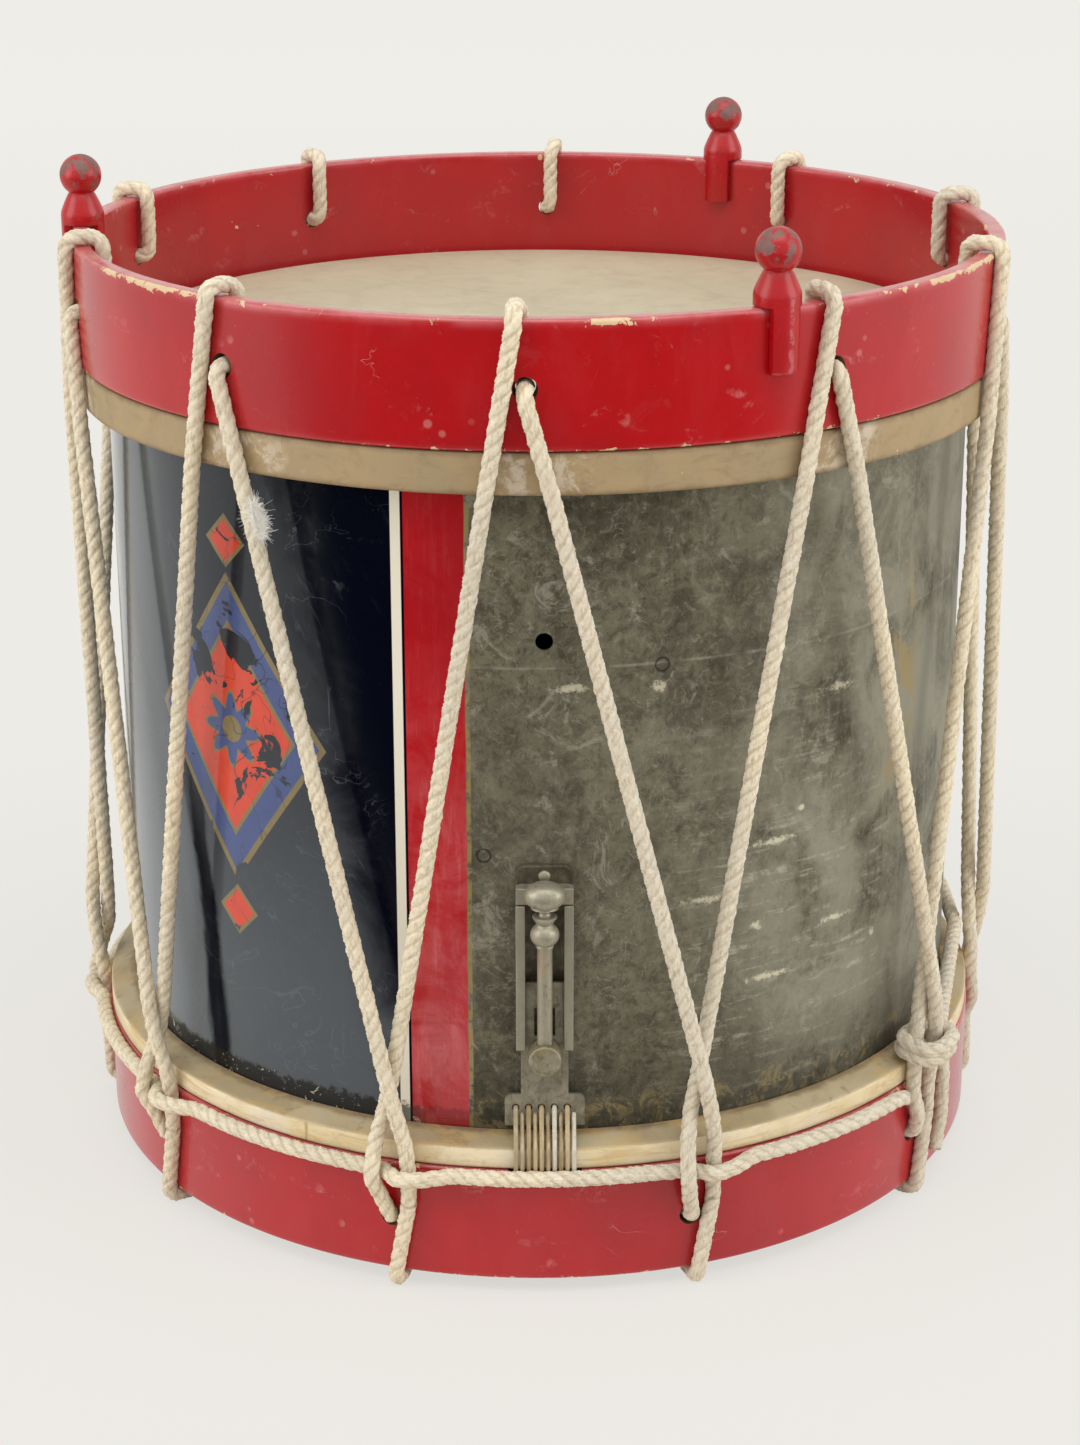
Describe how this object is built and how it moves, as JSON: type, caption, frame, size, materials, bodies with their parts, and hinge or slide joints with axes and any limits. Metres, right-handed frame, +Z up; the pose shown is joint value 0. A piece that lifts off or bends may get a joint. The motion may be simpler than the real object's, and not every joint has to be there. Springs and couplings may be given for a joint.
{
  "type": "field drum",
  "caption": "Rope-tensioned field drum: painted brass shell, two skin heads on flesh hoops, red wooden counter hoops, laced rope, turned pegs and a screw snare strainer.",
  "frame": {"origin": "on the floor, under the middle of the shell, level with the flats of the rope loops that the drum stands on", "axes": "+Z up along the shell's axis, -Y towards the front, where the snare strainer sits, +X to the right seen from the front"},
  "size_m": [0.4049, 0.394, 0.4171],
  "materials": {
    "shell_brass": "tarnished sheet brass with gloss painted panels",
    "red_paint": "worn gloss red paint on bent ash",
    "bare_wood": "bare planed wood",
    "batter_skin": "worn calfskin",
    "snare_skin": "cream calfskin",
    "rope": "three-strand laid cotton rope",
    "strainer_metal": "tarnished nickel-plated metal",
    "gut": "twisted gut"
  },
  "bodies": {
    "drum": {"shell": "shell_brass", "upper_bearing_ring": "bare_wood", "lower_bearing_ring": "bare_wood", "batter_head": "batter_skin", "upper_flesh_hoop": "bare_wood", "snare_head": "snare_skin", "lower_flesh_hoop": "bare_wood", "upper_counter_hoop": "red_paint", "lower_counter_hoop": "red_paint", "hoop_peg_1": "red_paint", "hoop_peg_2": "red_paint", "hoop_peg_3": "red_paint", "rope_lace_1": "rope", "rope_lace_2": "rope", "rope_lace_3": "rope", "rope_lace_4": "rope", "rope_lace_5": "rope", "rope_lace_6": "rope", "rope_lace_7": "rope", "rope_lace_8": "rope", "rope_lace_9": "rope", "rope_lace_10": "rope", "rope_under_loop_1": "rope", "rope_under_loop_2": "rope", "rope_under_loop_3": "rope", "rope_under_loop_4": "rope", "rope_under_loop_5": "rope", "rope_under_loop_6": "rope", "rope_under_loop_7": "rope", "rope_under_loop_8": "rope", "rope_under_loop_9": "rope", "rope_under_loop_10": "rope", "girth_rope": "rope", "strainer_plate": "strainer_metal", "strainer_lug": "strainer_metal", "strainer_plate_screw_1": "strainer_metal", "strainer_plate_screw_2": "strainer_metal", "strainer_plate_nut_1": "strainer_metal", "strainer_plate_nut_2": "strainer_metal", "snare_butt_plate": "strainer_metal", "butt_plate_screw_1": "strainer_metal", "butt_plate_screw_2": "strainer_metal", "butt_plate_nut_1": "strainer_metal", "butt_plate_nut_2": "strainer_metal", "gut_snares": "gut"},
    "slide": {"snare_slide": "strainer_metal", "slide_boss": "strainer_metal"},
    "screw": {"strainer_screw": "strainer_metal"}
  },
  "joints": [
    {"name": "snare_tension", "type": "slide", "parent": "drum", "child": "slide", "axis": [0, 0, 1], "range_m": [-0.00299, 0.00299], "deforming": ["gut_snares"]},
    {"name": "screw_turn", "type": "hinge", "parent": "slide", "child": "screw", "pos_m": [0, -0.1872, 0.15], "axis": [0, 0, 1], "range_deg": [-719, 719]}
  ],
  "couplings": [
    {"joint": "screw_turn", "follows": "snare_tension", "rad_per_m": 4188.8}
  ]
}
